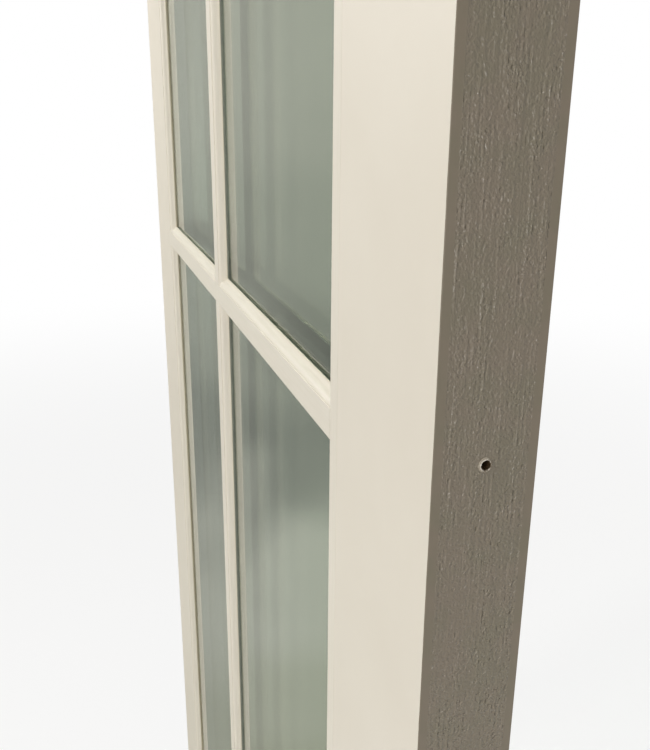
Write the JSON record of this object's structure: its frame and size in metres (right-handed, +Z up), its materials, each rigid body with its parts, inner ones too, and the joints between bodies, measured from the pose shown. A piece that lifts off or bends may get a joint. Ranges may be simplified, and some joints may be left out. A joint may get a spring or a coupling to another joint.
{
  "type": "full-glass exterior door leaf",
  "caption": "Full-glass exterior door leaf: painted stiles and rails round a sealed glazed unit, with moulded beads and applied glazing bars that divide it into panes.",
  "frame": {"origin": "middle of the hinge edge, at half the height and half the thickness of the leaf", "axes": "+X across the leaf from the hinge edge to the lock edge, +Y from the outside face to the inside face, +Z up"},
  "size_m": [0.914, 0.0444, 2.032],
  "materials": {
    "edge_wood": "thin taupe paint over open grain",
    "face_paint": "smooth cream paint, eggshell",
    "trim_paint": "smooth cream paint, satin",
    "clear_glass": "clear float glass",
    "spacer_metal": "mill finish",
    "foam_tape": "matt closed-cell foam",
    "bedding_sealant": "matt brown sealant",
    "edge_sealant": "matt dark sealant",
    "block_rubber": "matt"
  },
  "bodies": {
    "root": {"bottom_rail": "edge_wood", "edge_seal": "edge_sealant", "exterior_bar_tape": "foam_tape", "exterior_bead_sealant": "bedding_sealant", "exterior_bottom_rail_facing": "face_paint", "exterior_head_bead": "trim_paint", "exterior_hinge_side_bead": "trim_paint", "exterior_hinge_side_crossbar": "trim_paint", "exterior_hinge_stile_facing": "face_paint", "exterior_lock_side_bead": "trim_paint", "exterior_lock_side_crossbar": "trim_paint", "exterior_lock_stile_facing": "face_paint", "exterior_pane": "clear_glass", "exterior_sill_bead": "trim_paint", "exterior_top_rail_facing": "face_paint", "exterior_upright_bar": "trim_paint", "head_spacer": "spacer_metal", "hinge_side_spacer": "spacer_metal", "hinge_stile": "edge_wood", "interior_bar_tape": "foam_tape", "interior_bead_sealant": "bedding_sealant", "interior_bottom_rail_facing": "face_paint", "interior_head_bead": "trim_paint", "interior_hinge_side_bead": "trim_paint", "interior_hinge_side_crossbar": "trim_paint", "interior_hinge_stile_facing": "face_paint", "interior_lock_side_bead": "trim_paint", "interior_lock_side_crossbar": "trim_paint", "interior_lock_stile_facing": "face_paint", "interior_pane": "clear_glass", "interior_sill_bead": "trim_paint", "interior_top_rail_facing": "face_paint", "interior_upright_bar": "trim_paint", "lock_side_spacer": "spacer_metal", "lock_stile": "edge_wood", "setting_blocks": "block_rubber", "sill_spacer": "spacer_metal", "top_rail": "edge_wood"}
  },
  "joints": []
}
